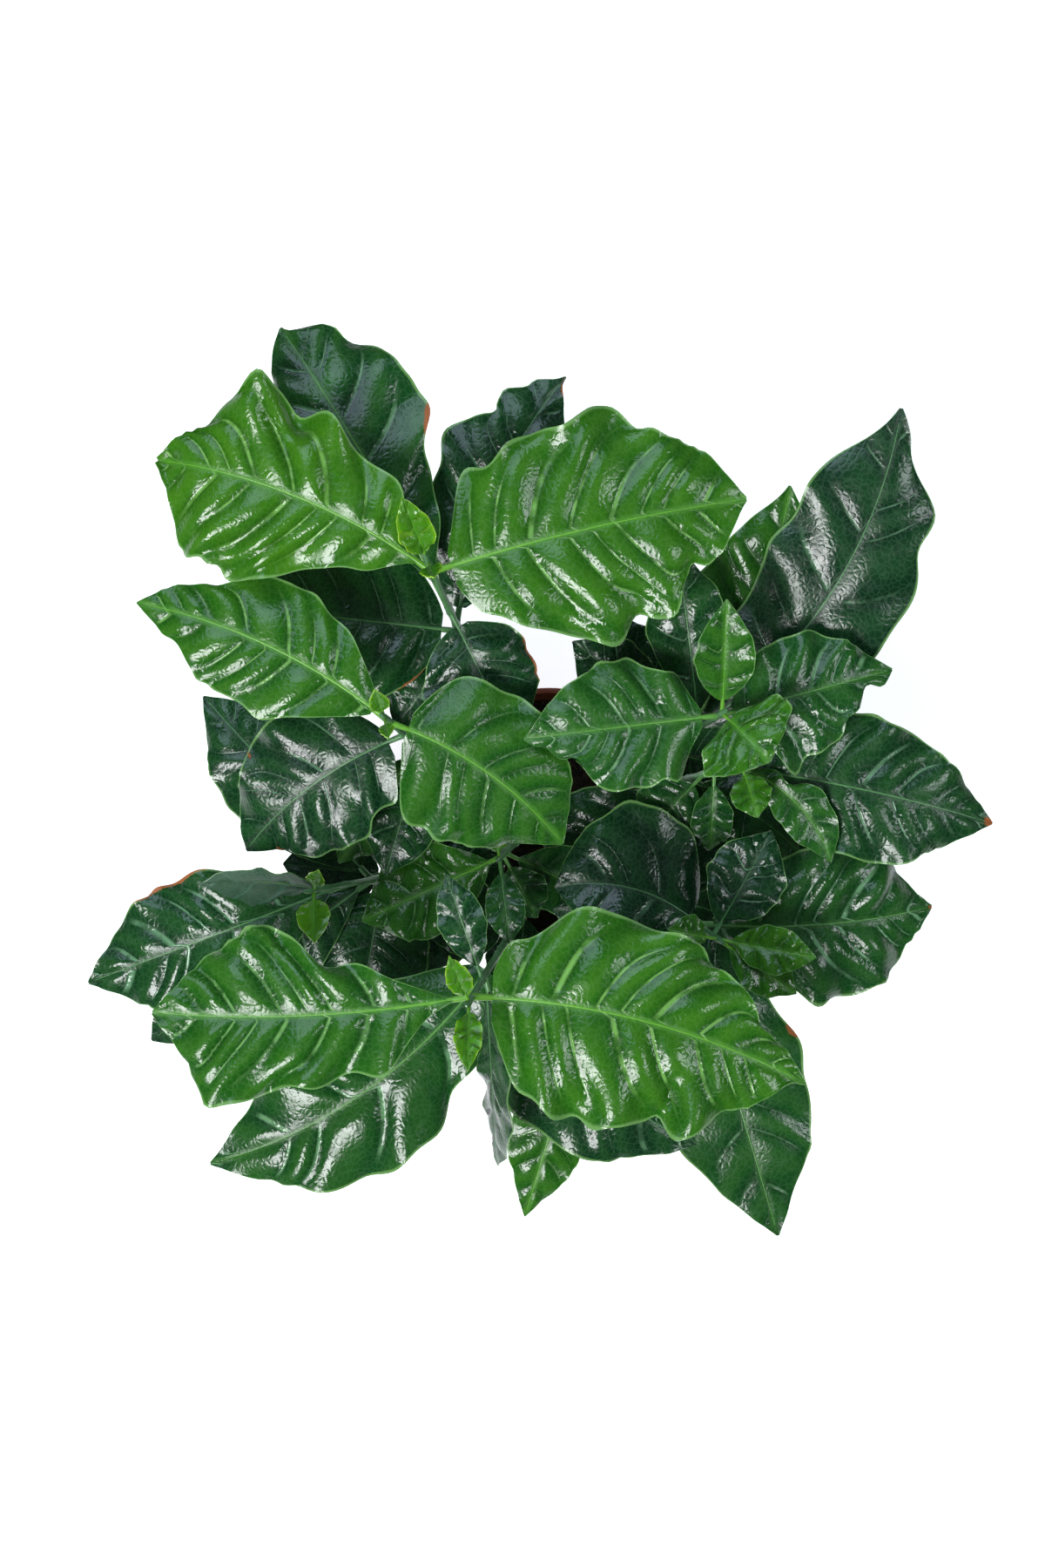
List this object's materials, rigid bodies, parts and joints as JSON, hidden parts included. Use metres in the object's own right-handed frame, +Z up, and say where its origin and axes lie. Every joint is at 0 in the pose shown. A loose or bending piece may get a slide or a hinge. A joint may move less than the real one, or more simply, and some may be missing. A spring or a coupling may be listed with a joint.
{
  "type": "potted coffee plant",
  "caption": "Young coffee plants with broad glossy wavy leaves, growing as a clump from soil in a small round terracotta-coloured nursery pot.",
  "frame": {"origin": "centre of the pot's flat base, on the surface that it stands on", "axes": "+Z up; +Y to the plant's back, which is the top of the picture; +X to its right"},
  "size_m": [0.3819, 0.3782, 0.3316],
  "materials": {
    "terracotta_plastic": "moulded, slightly satin",
    "potting_soil": "damp peat and bark crumbs, matte",
    "young_bark": "thin brown bark",
    "grown_leaf": "waxy, very glossy above, satin below",
    "young_leaf": "fresh, glossy, lime green"
  },
  "bodies": {
    "root": {"pot": "terracotta_plastic", "soil": "potting_soil", "trunk_1": "young_bark", "leafy_stem_1": "grown_leaf", "young_tip_1": "young_leaf", "trunk_2": "young_bark", "leafy_stem_2": "grown_leaf", "young_tip_2": "young_leaf", "trunk_3": "young_bark", "leafy_stem_3": "grown_leaf", "young_tip_3": "young_leaf", "trunk_4": "young_bark", "leafy_stem_4": "grown_leaf", "young_tip_4": "young_leaf", "trunk_5": "young_bark", "leafy_stem_5": "grown_leaf", "young_tip_5": "young_leaf", "trunk_6": "young_bark", "leafy_stem_6": "grown_leaf", "young_tip_6": "young_leaf", "trunk_7": "young_bark", "leafy_stem_7": "grown_leaf", "young_tip_7": "young_leaf", "trunk_8": "young_bark", "leafy_stem_8": "grown_leaf", "young_tip_8": "young_leaf", "trunk_9": "young_bark", "leafy_stem_9": "grown_leaf", "young_tip_9": "young_leaf"}
  },
  "joints": []
}
